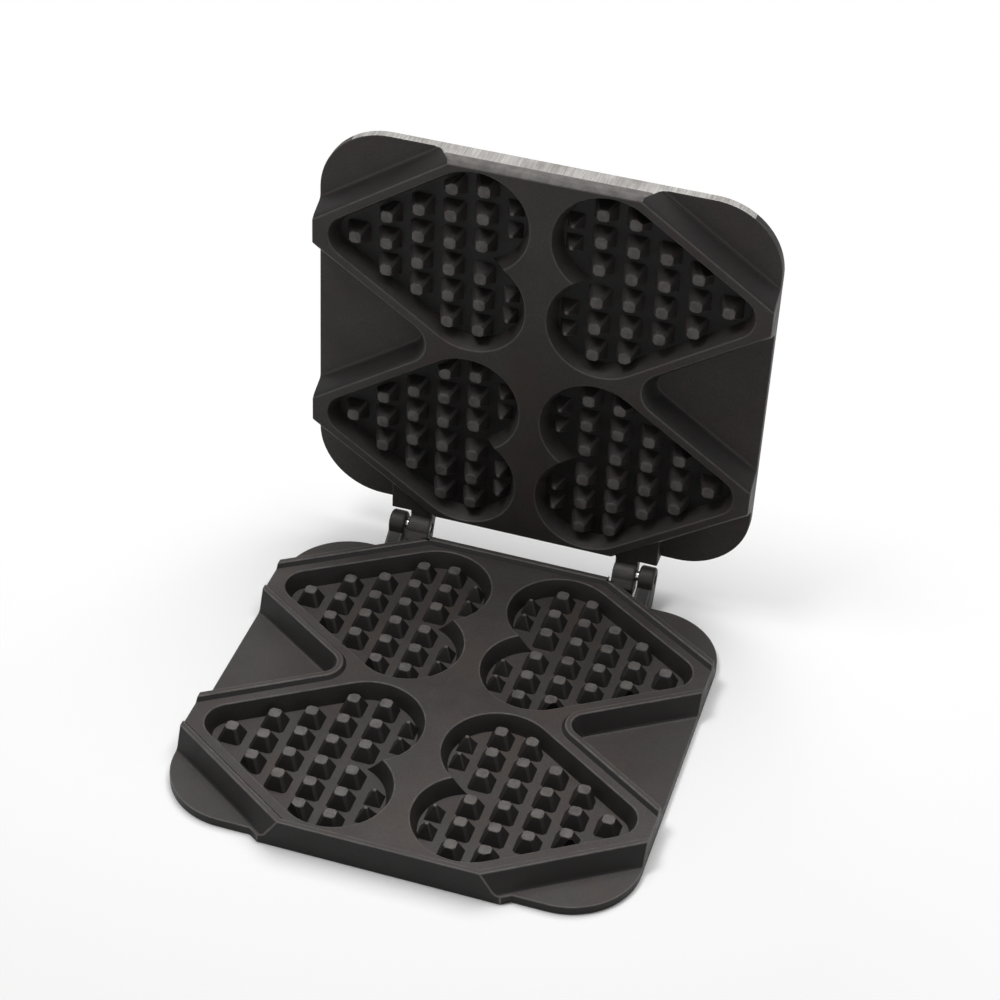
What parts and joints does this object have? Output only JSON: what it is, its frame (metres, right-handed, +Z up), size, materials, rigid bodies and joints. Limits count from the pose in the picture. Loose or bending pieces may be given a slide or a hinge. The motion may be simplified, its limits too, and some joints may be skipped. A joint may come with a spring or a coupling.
{
  "type": "waffle maker",
  "caption": "Hinged cast-iron waffle maker: flat-backed lower and upper plates with heart-shaped gridded cavities that close face to face on steel hinge pins.",
  "frame": {"origin": "centre of the lower plate's flat back", "axes": "+X to the right, +Y from the front edge towards the hinge, +Z up out of the lower plate's baking face"},
  "size_m": [0.26, 0.272, 0.2718],
  "materials": {
    "seasoned_iron": "dark seasoned satin",
    "pin_steel": "bright turned steel"
  },
  "bodies": {
    "lower": {"lower_plate": "seasoned_iron", "hinge_pin_left": "pin_steel", "hinge_pin_right": "pin_steel"},
    "upper": {"upper_plate": "seasoned_iron"}
  },
  "joints": [
    {"name": "hinge", "type": "hinge", "parent": "lower", "child": "upper", "pos_m": [0, 0.1313, 0.019], "axis": [1, 0, 0], "range_deg": [0, 90]}
  ]
}
